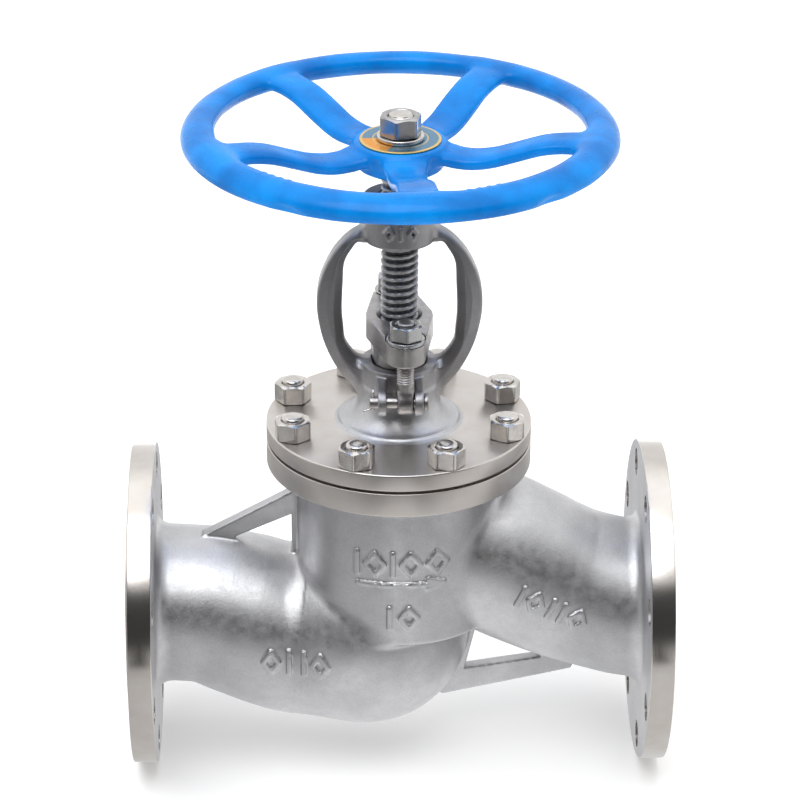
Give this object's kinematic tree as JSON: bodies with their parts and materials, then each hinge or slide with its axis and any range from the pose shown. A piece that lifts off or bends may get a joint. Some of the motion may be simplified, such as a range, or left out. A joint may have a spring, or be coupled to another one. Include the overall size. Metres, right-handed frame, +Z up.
{
  "type": "globe valve",
  "caption": "Flanged stainless globe valve with bolted bonnet, outside screw and yoke, rising stem and a five-spoke handwheel.",
  "frame": {"origin": "where the pipe axis crosses the stem axis", "axes": "+X along the pipe from the inlet face to the outlet face, +Y across the pipe, +Z up the stem to the handwheel"},
  "size_m": [0.35, 0.2722, 0.4465],
  "materials": {
    "cast_steel": "bead-blasted cast stainless steel, machined on the flange rims",
    "forged_steel": "satin forged stainless steel",
    "stem_steel": "turned stainless steel",
    "bright_steel": "polished stainless steel",
    "dark_steel": "dark oiled steel",
    "graphite": "matt graphite packing",
    "blue_enamel": "gloss blue enamel on cast iron",
    "plate": "printed aluminium disc"
  },
  "bodies": {
    "housing": {"body": "cast_steel", "seat_ring": "stem_steel", "bonnet": "cast_steel", "bonnet_gasket": "graphite", "backseat_bush": "stem_steel", "packing_washer": "stem_steel", "packing_ring_1": "graphite", "packing_ring_2": "graphite", "packing_ring_3": "graphite", "packing_ring_4": "graphite", "packing_ring_5": "graphite", "stem_nut": "dark_steel", "grub_screw": "dark_steel", "eyebolt_front": "forged_steel", "eyebolt_pin_front": "forged_steel", "cotter_pin_front": "bright_steel", "eyebolt_back": "forged_steel", "eyebolt_pin_back": "forged_steel", "cotter_pin_back": "bright_steel", "bonnet_stud_1": "bright_steel", "bonnet_stud_2": "bright_steel", "bonnet_stud_3": "bright_steel", "bonnet_stud_4": "bright_steel", "bonnet_stud_5": "bright_steel", "bonnet_stud_6": "bright_steel", "bonnet_stud_7": "bright_steel", "bonnet_stud_8": "bright_steel", "bonnet_nut_1": "bright_steel", "bonnet_nut_2": "bright_steel", "bonnet_nut_3": "bright_steel", "bonnet_nut_4": "bright_steel", "bonnet_nut_5": "bright_steel", "bonnet_nut_6": "bright_steel", "bonnet_nut_7": "bright_steel", "bonnet_nut_8": "bright_steel"},
    "plug": {"disc": "stem_steel", "disc_nut": "stem_steel"},
    "spindle": {"stem": "stem_steel", "handwheel": "blue_enamel", "nameplate": "plate", "wheel_washer": "bright_steel", "wheel_nut": "bright_steel"},
    "follower": {"gland": "forged_steel", "gland_washer_front": "bright_steel", "gland_washer_back": "bright_steel"},
    "front_nut": {"gland_nut_front": "bright_steel"},
    "back_nut": {"gland_nut_back": "bright_steel"}
  },
  "joints": [
    {"name": "disc_lift", "type": "slide", "parent": "housing", "child": "plug", "axis": [0, 0, 1], "range_m": [0, 0.03]},
    {"name": "stem_turn", "type": "hinge", "parent": "plug", "child": "spindle", "pos_m": [0, 0, 0.2], "axis": [0, 0, 1], "range_deg": [0, 2160]},
    {"name": "gland_take_up", "type": "slide", "parent": "housing", "child": "follower", "axis": [0, 0, 1], "range_m": [-0.005, 0], "deforming": ["packing_ring_1", "packing_ring_2", "packing_ring_3", "packing_ring_4", "packing_ring_5"]},
    {"name": "front_nut_turn", "type": "hinge", "parent": "follower", "child": "front_nut", "pos_m": [0.00299, -0.03889, 0.2117], "axis": [0, 0, 1], "range_deg": [-1030, 0]},
    {"name": "back_nut_turn", "type": "hinge", "parent": "follower", "child": "back_nut", "pos_m": [-0.00299, 0.03889, 0.2117], "axis": [0, 0, 1], "range_deg": [-1030, 0]}
  ],
  "couplings": [
    {"joint": "disc_lift", "follows": "stem_turn", "m_per_rad": 0.00079577},
    {"joint": "front_nut_turn", "follows": "gland_take_up", "rad_per_m": 3590.4},
    {"joint": "back_nut_turn", "follows": "gland_take_up", "rad_per_m": 3590.4}
  ]
}
